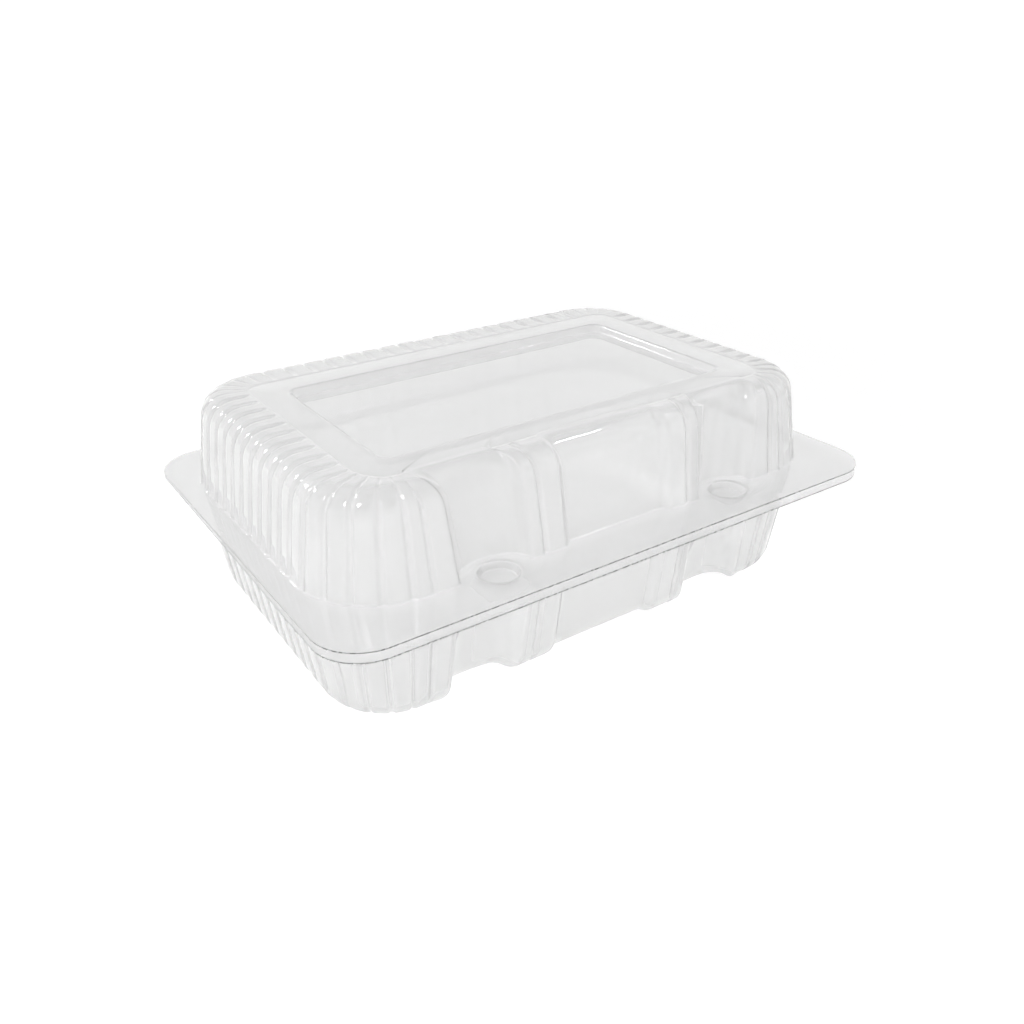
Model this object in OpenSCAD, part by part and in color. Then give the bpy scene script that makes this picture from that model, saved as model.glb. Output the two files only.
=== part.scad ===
// Hinged clamshell pack thermoformed from one clear sheet: a deep fluted tray, a shallower fluted
// lid and the fold that joins their back edges. The lid stands slightly ajar, with its two round
// snap buttons resting on the mouths of the sockets in the tray's front flange.
// Millimetres, +Z up, origin under the middle of the pack on the plane it stands on, front at -Y.

/* [Sheet and flanges] */
// Thickness of the formed sheet
sheet_t = 0.4; // [0.3:0.05:0.6]
// Length of both flanges, along the hinge
flange_l = 240; // [220:1:270]
// Depth of both flanges, from the front edge to the fold
flange_d = 175.7; // [160:0.1:200]
// Corner radius of both flanges
flange_r = 18; // [12:0.5:24]
// Width of the flange beside each end wall
side_margin = 8.5; // [6:0.1:12]
// Width of the flange before the front wall, which carries the buttons
front_margin = 17.4; // [15:0.1:22]
// Width of the flange behind the back wall
back_margin = 8.2; // [6:0.1:12]

/* [Walls and flutes] */
// Corner radius of the walls where they leave the flange
corner_r = 32; // [29:0.5:36]
// Distance between neighbouring flutes
flute_pitch = 8.8; // [7:0.1:12]
// Depth of the groove between two flutes
flute_depth = 1; // [0.6:0.1:1.8]

/* [Tray] */
// Height of the tray, up to the underside of its flange
tray_h = 48.9; // [35:0.1:60]
// Lean of the tray's walls from upright
tray_draft = 7.5; // [5:0.1:8]
// Radius between the tray's walls and its floor
tray_round = 11; // [7:0.1:13]
// Plan distance from the top of the tray's walls to where the flutes end on the floor
tray_run = 23; // [21.5:0.1:25]

/* [Lid] */
// Height of the lid above the top of its flange
lid_h = 35.6; // [25:0.1:42]
// Lean of the lid's walls from upright
lid_draft = 8.7; // [6:0.1:9.5]
// Radius of the shoulder between the lid's walls and its top
lid_round = 10; // [6:0.1:11]
// Plan distance from the foot of the lid's front wall to where the flutes end on top
lid_run_front = 18; // [17.5:0.1:20]
// The same distance at each end wall
lid_run_side = 22.5; // [19:0.1:25]
// The same distance at the back wall
lid_run_back = 27; // [22:0.1:28]
// Width of the flat rim between the flutes and the sunk panel
panel_margin = 12.5; // [9:0.1:16]
// Depth of the sunk panel in the lid's top
panel_sink = 3.4; // [2:0.1:5]
// Lean of the step round the sunk panel
panel_draft = 12; // [5:1:30]
// Corner radius of the sunk panel
panel_r = 5; // [3:0.5:10]

/* [Snap buttons] */
// Distance of each button's centre from the front edge
button_inset = 17; // [15:0.1:19]
// Radius of the lid's button at its lower face
button_r = 6.75; // [5.5:0.05:7.5]
// How much wider the button is at the flange
button_flare = 0.7; // [0.3:0.05:1]
// How far the socket's mouth grips inside the button's radius
snap_grip = 0.35; // [0.2:0.05:0.5]
// Clearance round the button once it is pressed home
snap_clear = 0.2; // [0.1:0.05:0.4]
// Width of the bead round each button and socket
bead_w = 1.2; // [0.8:0.1:1.8]
// Height by which a bead stands proud of both faces of its flange
bead_h = 0.2; // [0.1:0.05:0.3]
// Clearance between a button and the bead that it rests on
seat_clear = 0.1; // [0.05:0.05:0.2]

/* [Front wall] */
// Clearance behind each button, which sets the depth of the scoop in the wall
scoop_gap = 1.8; // [1:0.1:2.4]
// Clearance beside each button, which sets the width of the scoop
scoop_flare = 5.4; // [4:0.1:6.5]
// Width of the block between each scoop and the corner, which places the button along the front
block_w = 12.45; // [12:0.05:17]
// Width of the narrow rib beside each scoop
narrow_rib_w = 6; // [5:0.1:8]
// Width of the wide rib beside the middle panel
wide_rib_w = 10; // [8:0.1:12]
// Depth by which the middle panel lies behind the ribs
front_panel_step = 3; // [1:0.1:4]
// How far the ribs' edges draw towards the scoop by the end of the flutes
rib_taper = 4; // [2:0.1:5]
// How far the scoop's outer edge draws towards the corner by the end of the flutes
block_taper = 11; // [6:0.1:12]

/* [Hinge] */
// Inner radius of the folded sheet at the hinge
fold_r = 0.3; // [0.2:0.05:0.6]
// Length of the fold along the back edge
fold_l = 190; // [150:1:190]
// Angle by which the lid stands open with its buttons on their seats
lid_ajar = 0.88; // [0.7:0.01:1.2]

/* [Hidden] */
$fn = 96;
// Steps in the round between wall and floor, and between wall and top
tray_round_steps = 2;
lid_round_steps = 3;
// Share of a groove's depth that is left where the round meets the flat
groove_fade = 0.6;
// Least flat that stays between a round and the end of the flutes
least_flat = 0.3;
// Run of the small ramps beside ribs, panels and scoops
ramp = 1.25;
// Places of the groove's two edges and its bottom within one flute, and which of them is the bottom
flute_cell = [0.3, 0.5, 0.7];
groove_place = 1;
per_cell = len(flute_cell);
// Steps in the round of a scoop
scoop_steps = 8;
// How square a scoop is in plan: 1 is an ellipse and less is squarer
scoop_square = 0.8;
// Overshoot of a cutter
past = 1;

fold_out = fold_r + sheet_t;
y_front = -(flange_d + fold_out) / 2;
y_hinge = y_front + flange_d;
z_hinge = tray_h + fold_out;
x_flange = flange_l / 2;

// Walls where they leave the flange
x_foot = x_flange - side_margin;
y_foot_front = y_front + front_margin;
y_foot_back = y_hinge - back_margin;
// Centres of the corners
x_corner = x_foot - corner_r;
y_corner_front = y_foot_front + corner_r;
y_corner_back = y_foot_back - corner_r;

// Buttons, sockets and the scoops behind them
button_y = y_front + button_inset;
button_top_r = button_r + button_flare;
bead_r = button_top_r + bead_w;
mouth_r = button_r - snap_grip;
scoop_d = button_inset + bead_r + scoop_gap - front_margin;
scoop_half = bead_r + scoop_flare;
scoop_out = x_corner - block_w;
button_x = scoop_out - scoop_half;
scoop_in = button_x - scoop_half;
rib_groove = scoop_in - narrow_rib_w;
panel_half = rib_groove - wide_rib_w;
// Space between the flanges at the back of a button, where the ajar lid comes closest
seat_gap = 2 * fold_r + (y_hinge - button_y - button_r) * tan(lid_ajar);
button_drop = seat_gap - bead_h - seat_clear;

// Stretches of the outline, counter-clockwise from above
FRONT = 0;
FRONT_RIGHT = 1;
RIGHT = 2;
BACK_RIGHT = 3;
BACK = 4;
BACK_LEFT = 5;
LEFT = 6;
FRONT_LEFT = 7;

flutes_side = round((y_corner_back - y_corner_front) / flute_pitch);
flutes_back = round(2 * x_corner / flute_pitch);
flutes_corner = round(corner_r * PI / 2 / flute_pitch) - 1;

// One station of a wall is [stretch, share of it at the foot, share of it where the flutes end,
// setback, groove depth].
function fluted(stretch, n) =
  [for (i = [0 : n - 1], j = [0 : per_cell - 1])
    let (share = (i + flute_cell[j]) / n)
    [stretch, share, share, 0, j == groove_place ? flute_depth : 0]];

// Right half of the front wall as [x, setback, groove depth], from the middle outwards
block_groove = x_corner - 2 * ramp;
front_half = concat(
  [[panel_half - ramp, front_panel_step, 0]],
  [[panel_half + ramp, 0, 0]],
  [[rib_groove - ramp, 0, 0]],
  [[rib_groove, 0, flute_depth]],
  [[rib_groove + ramp, 0, 0]],
  [[scoop_in - ramp, 0, 0]],
  [for (i = [0 : scoop_steps])
    let (a = 180 * (1 - i / scoop_steps))
    [button_x + scoop_half * cos(a), scoop_d * pow(max(sin(a), 0), scoop_square), 0]],
  [[scoop_out + ramp, 0, 0]],
  [[block_groove - ramp, 0, 0]],
  [[block_groove, 0, flute_depth]],
  [[block_groove + ramp, 0, 0]]
);
front_last = len(front_half) - 1;
front_all = concat(
  [for (i = [front_last : -1 : 0]) [-front_half[i][0], front_half[i][1], front_half[i][2]]],
  [[0, front_panel_step, 0]],
  front_half
);
// Where the edges of ribs and scoops arrive at the end of the flutes
front_draw = [
  [0, 0],
  [scoop_in, scoop_in + rib_taper],
  [scoop_out, scoop_out + block_taper],
  [x_corner, x_corner]
];
function front_share(x) = (x / x_corner + 1) / 2;
front_stations = [for (p = front_all)
  [FRONT, front_share(p[0]), front_share(sign(p[0]) * lookup(abs(p[0]), front_draw)), p[1], p[2]]];

stations = concat(
  front_stations,
  fluted(FRONT_RIGHT, flutes_corner),
  fluted(RIGHT, flutes_side),
  fluted(BACK_RIGHT, flutes_corner),
  fluted(BACK, flutes_back),
  fluted(BACK_LEFT, flutes_corner),
  fluted(LEFT, flutes_side),
  fluted(FRONT_LEFT, flutes_corner)
);
count = len(stations);

// Every third station, moved to the edge of its flute, for outlines that have no flutes
cells = count / per_cell;
cell_stations = [for (i = [0 : cells - 1]) stations[per_cell * i]];

// Outlines are [x half, front y, back y, corner x, front corner y, back corner y, corner radius].
// With no radius the corners are ellipses about the corner centres.
flange_outline = [x_flange, y_front, y_hinge, x_corner, y_corner_front, y_corner_back, flange_r];
foot_outline = wall_outline(0, 0, 0);

function wall_outline(side, front, back) =
  [x_foot - side, y_foot_front + front, y_foot_back - back, x_corner, y_corner_front, y_corner_back, 0];

function panel_outline(inset) =
  let (x = x_foot - lid_run_side - panel_margin - inset)
  let (front = y_foot_front + lid_run_front + panel_margin + inset)
  let (back = y_foot_back - lid_run_back - panel_margin - inset)
  [x, front, back, x - panel_r, front + panel_r, back - panel_r, 0];

// Point of a corner's quarter, from straight ahead at 0 to straight aside at 1
function quarter(share, ex, ey, r) =
  r == 0 ? [ex * sin(90 * share), -ey * cos(90 * share)]
         : rounded_quarter(share * (ex + ey - 2 * r + r * PI / 2), ex, ey, r);

function rounded_quarter(s, ex, ey, r) =
  let (turn = (s - ex + r) / r * 180 / PI)
  s < ex - r ? [s, -ey]
  : turn < 90 ? [ex - r + r * sin(turn), -ey + r - r * cos(turn)]
  : [ex, s - (ex - r) - r * PI / 2 - ey + r];

function plan(o, k, q) =
  let (x = o[3], yf = o[4], yb = o[5])
  let (ex = o[0] - x, ef = yf - o[1], eb = o[2] - yb, r = o[6])
  let (ahead = quarter(q, ex, ef, r), aside = quarter(1 - q, ex, ef, r))
  let (behind = quarter(q, ex, eb, r), beside = quarter(1 - q, ex, eb, r))
  k == FRONT ? [x * (2 * q - 1), o[1]]
  : k == FRONT_RIGHT ? [x + ahead[0], yf + ahead[1]]
  : k == RIGHT ? [o[0], yf + (yb - yf) * q]
  : k == BACK_RIGHT ? [x + beside[0], yb - beside[1]]
  : k == BACK ? [x * (1 - 2 * q), o[2]]
  : k == BACK_LEFT ? [-x - behind[0], yb - behind[1]]
  : k == LEFT ? [-o[0], yb + (yf - yb) * q]
  : [-x - aside[0], yf + aside[1]];

// Section of a wall as [distance out from the end of the flutes, height, tilt of the surface].
// The round shrinks where the wall is set back too far to leave room for all of it.
function section(run, groove, h, draft, round_r, steps) =
  let (room = (run - h * tan(draft) - least_flat) * cos(draft) / (1 - sin(draft)))
  let (r = min(round_r, room))
  let (middle = run - (h - r + r * sin(draft)) * tan(draft) - r * cos(draft))
  concat(
    [[run - groove / cos(draft), 0, draft]],
    [for (i = [0 : steps])
      let (tilt = draft + (90 - draft) * i / steps)
      let (rr = r - groove * (i == steps ? groove_fade : 1))
      [middle + rr * cos(tilt), h - r + rr * sin(tilt), tilt]],
    [[0, h, 90]]
  );

// Rings of the outer face, from the foot of the wall to the end of the flutes
function wall_rings(end_outline, h, draft, round_r, steps) =
  let (sections = [for (s = stations)
    let (a = plan(end_outline, s[0], s[2]), b = plan(foot_outline, s[0], s[1]) + [0, s[3]])
    let (run = norm(b - a), out = (b - a) / run)
    [for (p = section(run, s[4], h, draft, round_r, steps)) [each a + out * p[0], p[1], p[2]]]])
  [for (j = [0 : len(sections[0]) - 1]) [for (i = [0 : count - 1]) sections[i][j]]];

// Direction that points out of a ring in plan, at one of its points
function outward(ring, i) =
  let (n = len(ring))
  let (t = ring[(i + 1) % n] - ring[(i + n - 1) % n])
  [t[1], -t[0]] / norm([t[0], t[1]]);

// The same ring on the inner face of the sheet. At the foot it meets the flange's inner face.
function inner_ring(ring, at_foot) =
  [for (i = [0 : len(ring) - 1])
    let (p = ring[i], n = outward(ring, i), tilt = p[3])
    let (aside = at_foot ? (1 - sin(tilt)) / cos(tilt) : cos(tilt))
    let (down = at_foot ? 1 : sin(tilt))
    [p[0] - n[0] * sheet_t * aside, p[1] - n[1] * sheet_t * aside, p[2] - sheet_t * down]];

function flat_ring(outline, points, z) = [for (s = points) [each plan(outline, s[0], s[1]), z]];
function middle(z) = [[0, (y_foot_front + y_foot_back) / 2, z]];
function bare(ring) = [for (p = ring) [p[0], p[1], p[2]]];

// Faces between two rings with as many points, between a fine and a coarse one, and about a middle
// point. a and b are the numbers of the rings' first points.
function band(a, b, n) =
  [for (i = [0 : n - 1])
    let (k = (i + 1) % n)
    each [[a + i, b + i, b + k], [a + i, b + k, a + k]]];

function coarse_band(a, b, n) =
  let (m = n / per_cell)
  [for (i = [0 : m - 1])
    let (k = (i + 1) % m, f = a + per_cell * i)
    each [
      [b + i, f + 1, f],
      [b + i, b + k, f + 1],
      [b + k, f + 2, f + 1],
      [b + k, a + (per_cell * i + per_cell) % n, f + 2]
    ]];

function fan(a, b, n) = [for (i = [0 : n - 1]) [a + i, b, a + (i + 1) % n]];
function turned(faces) = [for (f = faces) [f[0], f[2], f[1]]];

// Numbers of the first points of rings with these lengths
function starts(rings, i = 0, at = 0) =
  i == len(rings) ? [] : concat([at], starts(rings, i + 1, at + len(rings[i])));

// Faces of a skin whose last ring is the single middle point of its flat end
function skin(rings, first) =
  let (s = [for (v = starts(rings)) v + first])
  [for (j = [0 : len(rings) - 2])
    let (n = len(rings[j]), m = len(rings[j + 1]))
    each m == 1 ? fan(s[j], s[j + 1], n)
      : m == n ? band(s[j], s[j + 1], n)
      : coarse_band(s[j], s[j + 1], n)];

// Closed sheet between the rings of its outer and inner faces, both from the flange's edge inwards
module sheet(outer, inner) {
  outer_points = [for (r = outer) each r];
  inner_points = [for (r = inner) each r];
  first_inner = len(outer_points);
  faces = concat(skin(outer, 0), turned(skin(inner, first_inner)), turned(band(0, first_inner, count)));
  polyhedron(concat(outer_points, inner_points), faces);
}

// Flange, fluted walls and flat end, with the flange's outer face at z = 0 and the end at z = h.
// flat_outer and flat_inner are the rings of whatever is formed in the flat end, with its middle last.
module formed_shell(end_outline, h, draft, round_r, steps, flat_outer, flat_inner) {
  walls = wall_rings(end_outline, h, draft, round_r, steps);
  last = len(walls) - 1;
  outer_walls = [for (r = walls) bare(r)];
  inner_walls = [for (j = [0 : last]) inner_ring(walls[j], j == 0)];
  outer = concat([flat_ring(flange_outline, stations, 0)], outer_walls, flat_outer);
  inner = concat([flat_ring(flange_outline, stations, -sheet_t)], inner_walls, flat_inner);
  sheet(outer, inner);
}

module at_buttons() {
  for (side = [-1, 1]) {
    translate([side * button_x, button_y, 0]) children();
  }
}

// Lid's button: a cup pressed down from the flange, with its bead. The flange's top is at z = 0.
module button_cup() {
  low = -sheet_t - button_drop;
  rotate_extrude() polygon([
    [0, low],
    [button_r, low],
    [button_top_r, -sheet_t - bead_h],
    [bead_r, -sheet_t - bead_h],
    [bead_r, bead_h],
    [button_top_r - sheet_t, bead_h],
    [button_r - sheet_t, low + sheet_t],
    [0, low + sheet_t]
  ]);
}

// Tray's socket: a pocket with a narrower mouth that grips the button. The flange's underside is at z = 0.
module socket_cup() {
  belly_r = button_r + snap_clear;
  low = -button_drop - snap_clear;
  rotate_extrude() polygon([
    [0, low - sheet_t],
    [mouth_r + sheet_t, low - sheet_t],
    [belly_r + sheet_t, low / 2],
    [mouth_r + sheet_t, -bead_h],
    [bead_r, -bead_h],
    [bead_r, sheet_t + bead_h],
    [mouth_r, sheet_t + bead_h],
    [belly_r, low / 2],
    [mouth_r, low],
    [0, low]
  ]);
}

// Hole in a flange that a cup's bead closes again
module cup_hole() {
  translate([0, 0, -sheet_t - past]) cylinder(r = bead_r - bead_w / 2, h = 2 * (sheet_t + past));
}

module base_tray() {
  color("gainsboro") translate([0, 0, tray_h]) {
    difference() {
      mirror([0, 0, 1]) {
        formed_shell(wall_outline(tray_run, tray_run, tray_run), tray_h, tray_draft, tray_round,
          tray_round_steps, [middle(tray_h)], [middle(tray_h - sheet_t)]);
      }
      at_buttons() cup_hole();
    }
    at_buttons() socket_cup();
  }
}

module lid() {
  z_top = tray_h + 2 * fold_out;
  top_outline = wall_outline(lid_run_side, lid_run_front, lid_run_back);
  step_in = panel_sink * tan(panel_draft);
  panel_outer = [
    flat_ring(panel_outline(0), cell_stations, lid_h),
    flat_ring(panel_outline(step_in), cell_stations, lid_h - panel_sink),
    middle(lid_h - panel_sink)
  ];
  panel_inner = [
    flat_ring(panel_outline(-sheet_t), cell_stations, lid_h - sheet_t),
    flat_ring(panel_outline(step_in - sheet_t), cell_stations, lid_h - panel_sink - sheet_t),
    middle(lid_h - panel_sink - sheet_t)
  ];
  color("whitesmoke") translate([0, y_hinge, z_hinge]) rotate([-lid_ajar, 0, 0]) {
    translate([0, -y_hinge, z_top - z_hinge]) {
      difference() {
        formed_shell(top_outline, lid_h, lid_draft, lid_round, lid_round_steps, panel_outer, panel_inner);
        at_buttons() cup_hole();
      }
      at_buttons() button_cup();
    }
  }
}

// Folded strip of the sheet round the hinge line, from the tray's flange to the lid's
module living_hinge() {
  color("silver") translate([-fold_l / 2, y_hinge, z_hinge]) rotate([0, 90, 0]) {
    rotate_extrude(angle = 180 - lid_ajar) translate([fold_r, 0]) square([sheet_t, fold_l]);
  }
}

base_tray();
lid();
living_hinge();
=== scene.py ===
"""Looks of the hinged clamshell pack: fluted tray, fluted lid and fold, all of clear thermoformed sheet.

Sizes are millimetres in the pack's own frame and become metres where a mesh is made.
"""

import logging
import math
from dataclasses import dataclass, field
from enum import Enum

import bmesh
import bpy
import numpy as np
from mathutils import Matrix, Vector
from mathutils.geometry import delaunay_2d_cdt


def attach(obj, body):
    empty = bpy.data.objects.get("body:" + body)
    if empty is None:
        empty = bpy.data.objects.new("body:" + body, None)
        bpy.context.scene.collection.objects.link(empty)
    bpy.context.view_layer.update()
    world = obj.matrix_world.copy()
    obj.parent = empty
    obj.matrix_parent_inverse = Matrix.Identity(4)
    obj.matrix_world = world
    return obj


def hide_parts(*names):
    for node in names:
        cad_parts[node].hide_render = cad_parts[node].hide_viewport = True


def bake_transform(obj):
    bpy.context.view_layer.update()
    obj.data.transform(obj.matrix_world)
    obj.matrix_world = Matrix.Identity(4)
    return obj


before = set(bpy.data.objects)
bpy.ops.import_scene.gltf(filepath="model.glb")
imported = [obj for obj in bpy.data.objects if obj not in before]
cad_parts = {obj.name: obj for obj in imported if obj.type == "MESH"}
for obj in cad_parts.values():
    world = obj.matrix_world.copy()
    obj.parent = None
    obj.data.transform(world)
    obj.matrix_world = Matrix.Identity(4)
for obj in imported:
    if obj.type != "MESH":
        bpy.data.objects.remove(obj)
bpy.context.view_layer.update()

MM = 0.001
# Points closer than this, in millimetres, are one in a flange's triangulation
JOIN_MM = 1e-7
# Keep only triangles inside the outer outline
INSIDE = 1
# Points of skin and cups closer than this, in metres, are welded
WELD = 1e-6
# Points of the fold's strip along and round the hinge
FOLD_ALONG, FOLD_ROUND = 96, 17
LOG = logging.getLogger("clamshell_pack")


class Stretch(Enum):
    """Stretches of an outline, counter-clockwise from above, from the front."""

    FRONT = 0
    FRONT_RIGHT = 1
    RIGHT = 2
    BACK_RIGHT = 3
    BACK = 4
    BACK_LEFT = 5
    LEFT = 6
    FRONT_LEFT = 7


class Slot(Enum):
    """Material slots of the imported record."""

    TRAY = "tray_sheet"
    LID = "lid_sheet"
    HINGE = "hinge_sheet"


class Body(Enum):
    """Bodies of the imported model."""

    BASE = "base"
    LID = "lid"


# Small helpers


def linear(hex_colour: str) -> tuple[float, float, float, float]:
    """Turn an sRGB hex colour to linear.

    Args:
        hex_colour: six hex digits after a hash sign.

    Returns:
        Linear red, green, blue and an alpha of 1.
    """
    parts = [int(hex_colour[i : i + 2], 16) / 255 for i in (1, 3, 5)]
    return (*[c / 12.92 if c <= 0.04045 else ((c + 0.055) / 1.055) ** 2.4 for c in parts], 1.0)


def add_node(tree: bpy.types.NodeTree, kind: str, settings: dict | None = None, inputs: dict | None = None):
    """Add a node with its settings, values and links.

    Args:
        tree: node tree that takes the node.
        kind: Blender's identifier of the node.
        settings: properties of the node.
        inputs: values by input name or number; a socket is linked.

    Returns:
        The new node.
    """
    node = tree.nodes.new(kind)
    for name, value in (settings or {}).items():
        setattr(node, name, value)
    for name, value in (inputs or {}).items():
        if isinstance(value, bpy.types.NodeSocket):
            tree.links.new(value, node.inputs[name])
        else:
            node.inputs[name].default_value = value
    return node


def smoothstep(t: np.ndarray) -> np.ndarray:
    """Ease from 0 to 1."""
    t = np.clip(t, 0, 1)
    return t * t * (3 - 2 * t)


def plain_mesh(obj: bpy.types.Object, name: str) -> bpy.types.Mesh:
    """Return the object's evaluated shape as a plain mesh, and take its modifiers off."""
    bpy.context.view_layer.update()
    graph = bpy.context.evaluated_depsgraph_get()
    mesh = bpy.data.meshes.new_from_object(obj.evaluated_get(graph), depsgraph=graph)
    mesh.name = name
    obj.modifiers.clear()
    return mesh


def link(obj: bpy.types.Object) -> bpy.types.Object:
    """Put an object in the scene."""
    bpy.context.scene.collection.objects.link(obj)
    return obj


def shade(mesh: bpy.types.Mesh, sharp_deg: float) -> None:
    """Turn a closed mesh's faces outwards and shade it smooth, with sharp edges left hard.

    Args:
        mesh: mesh to shade.
        sharp_deg: angle between two faces from which their edge is hard.
    """
    bm = bmesh.new()
    bm.from_mesh(mesh)
    volume = bm.calc_volume(signed=True)
    LOG.info("%s: %.2f ml of sheet", mesh.name, volume * 1e6)
    if volume < 0:
        bmesh.ops.reverse_faces(bm, faces=bm.faces)
    for f in bm.faces:
        f.smooth = True
    for e in bm.edges:
        if len(e.link_faces) == 2:
            e.smooth = e.calc_face_angle(0.0) < math.radians(sharp_deg)
    bm.to_mesh(mesh)
    bm.free()


def rounded(points: list[tuple[float, float]], radius: float, steps: int) -> list[tuple[float, float]]:
    """Round the inner corners of an open line.

    Args:
        points: corners of the line.
        radius: most that a round takes of each side of its corner.
        steps: steps in each round.

    Returns:
        Points of the rounded line.
    """
    out = [points[0]]
    for before, corner, after in zip(points, points[1:], points[2:]):
        p, c, n = (np.array(v, float) for v in (before, corner, after))
        ins, outs = np.linalg.norm(c - p), np.linalg.norm(n - c)
        reach = min(radius, ins * 0.45, outs * 0.45)
        a, b = c + (p - c) / ins * reach, c + (n - c) / outs * reach
        for i in range(steps + 1):
            t = i / steps
            out.append(tuple((1 - t) ** 2 * a + 2 * t * (1 - t) * c + t * t * b))
    out.append(points[-1])
    return out


# Sizes


@dataclass(frozen=True)
class PackSizes:
    """Sizes that tray, lid and fold share, in millimetres and degrees."""

    sheet_t: float = 0.4
    flange_l: float = 240.0
    flange_d: float = 175.7
    flange_r: float = 18.0
    side_margin: float = 8.5
    front_margin: float = 17.4
    back_margin: float = 8.2
    corner_r: float = 32.0
    flute_pitch: float = 8.8
    flute_depth: float = 1.0
    groove_half: float = 0.2
    tray_h: float = 48.9
    fold_r: float = 0.3
    fold_l: float = 190.0
    lid_ajar: float = 0.88
    button_inset: float = 17.0
    button_r: float = 6.75
    button_flare: float = 0.7
    snap_grip: float = 0.35
    snap_clear: float = 0.2
    bead_w: float = 1.2
    bead_h: float = 0.2
    seat_clear: float = 0.1
    scoop_gap: float = 1.8
    scoop_flare: float = 5.4
    block_w: float = 12.45
    narrow_rib_w: float = 6.0
    wide_rib_w: float = 10.0
    front_panel_step: float = 3.0
    rib_taper: float = 4.0
    block_taper: float = 11.0
    ramp: float = 1.25
    scoop_square: float = 0.8
    least_flat: float = 0.3
    groove_fade: float = 0.6

    @property
    def fold_out(self) -> float:
        """Outer radius of the fold."""
        return self.fold_r + self.sheet_t

    @property
    def y_front(self) -> float:
        """Front edge of both flanges."""
        return -(self.flange_d + self.fold_out) / 2

    @property
    def y_hinge(self) -> float:
        """Line of the hinge, at the flanges' back edge."""
        return self.y_front + self.flange_d

    @property
    def z_hinge(self) -> float:
        """Height of the hinge's line."""
        return self.tray_h + self.fold_out

    @property
    def x_foot(self) -> float:
        """Half length of the walls at the flange."""
        return self.flange_l / 2 - self.side_margin

    @property
    def y_foot_front(self) -> float:
        """Front wall at the flange."""
        return self.y_front + self.front_margin

    @property
    def y_foot_back(self) -> float:
        """Back wall at the flange."""
        return self.y_hinge - self.back_margin

    @property
    def x_corner(self) -> float:
        """Corner centres along the hinge."""
        return self.x_foot - self.corner_r

    @property
    def button_y(self) -> float:
        """Line of the buttons' centres."""
        return self.y_front + self.button_inset

    @property
    def bead_r(self) -> float:
        """Outer radius of the bead round a button."""
        return self.button_r + self.button_flare + self.bead_w

    @property
    def mouth_r(self) -> float:
        """Radius of a socket's mouth."""
        return self.button_r - self.snap_grip

    @property
    def scoop_d(self) -> float:
        """Depth of a scoop."""
        return self.button_inset + self.bead_r + self.scoop_gap - self.front_margin

    @property
    def scoop_half(self) -> float:
        """Half width of a scoop."""
        return self.bead_r + self.scoop_flare

    @property
    def button_x(self) -> float:
        """Distance of a button from the middle."""
        return self.x_corner - self.block_w - self.scoop_half

    @property
    def button_drop(self) -> float:
        """Depth of a button below its flange."""
        reach = self.y_hinge - self.button_y - self.button_r
        gap = 2 * self.fold_r + reach * math.tan(math.radians(self.lid_ajar))
        return gap - self.bead_h - self.seat_clear


PACK = PackSizes()


@dataclass(frozen=True)
class Outline:
    """Plan outline with round or elliptical corners about its corner centres."""

    x: float
    front: float
    back: float
    cx: float
    cy_front: float
    cy_back: float
    radius: float = 0.0

    def _quarter(self, share: float, ex: float, ey: float) -> tuple[float, float]:
        """Return a corner's point, from straight ahead at 0 to straight aside at 1."""
        r = self.radius
        if r == 0:
            return ex * math.sin(math.pi / 2 * share), -ey * math.cos(math.pi / 2 * share)
        s = share * (ex + ey - 2 * r + r * math.pi / 2)
        if s < ex - r:
            return s, -ey
        turn = (s - ex + r) / r
        if turn < math.pi / 2:
            return ex - r + r * math.sin(turn), -ey + r - r * math.cos(turn)
        return ex, s - (ex - r) - r * math.pi / 2 - ey + r

    def point(self, stretch: Stretch, q: float) -> np.ndarray:
        """Return the plan point at a share of a stretch.

        Args:
            stretch: stretch of the outline.
            q: share of it, from 0 to 1.

        Returns:
            The point's x and y.
        """
        ex, ef, eb = self.x - self.cx, self.cy_front - self.front, self.back - self.cy_back
        if stretch is Stretch.FRONT:
            return np.array((self.cx * (2 * q - 1), self.front))
        if stretch is Stretch.RIGHT:
            return np.array((self.x, self.cy_front + (self.cy_back - self.cy_front) * q))
        if stretch is Stretch.BACK:
            return np.array((self.cx * (1 - 2 * q), self.back))
        if stretch is Stretch.LEFT:
            return np.array((-self.x, self.cy_back + (self.cy_front - self.cy_back) * q))
        at_front = stretch in (Stretch.FRONT_RIGHT, Stretch.FRONT_LEFT)
        on_right = stretch in (Stretch.FRONT_RIGHT, Stretch.BACK_RIGHT)
        share = q if at_front == on_right else 1 - q
        dx, dy = self._quarter(share, ex, ef if at_front else eb)
        return np.array((self.cx + dx if on_right else -self.cx - dx,
                         self.cy_front + dy if at_front else self.cy_back - dy))


def wall_outline(side: float, front: float, back: float) -> Outline:
    """Return the walls' outline, drawn in from the foot by these distances."""
    p = PACK
    return Outline(p.x_foot - side, p.y_foot_front + front, p.y_foot_back - back, p.x_corner,
                   p.y_foot_front + p.corner_r, p.y_foot_back - p.corner_r)


FOOT = wall_outline(0, 0, 0)
FLANGE = Outline(PACK.flange_l / 2, PACK.y_front, PACK.y_hinge, PACK.x_corner,
                 PACK.y_foot_front + PACK.corner_r, PACK.y_foot_back - PACK.corner_r, PACK.flange_r)


@dataclass(frozen=True)
class Station:
    """One upright line of a wall: where it stands, how far back, and its place in a flute."""

    stretch: Stretch
    foot: float
    end: float
    setback: float = 0.0
    phase: float = 0.0


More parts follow.
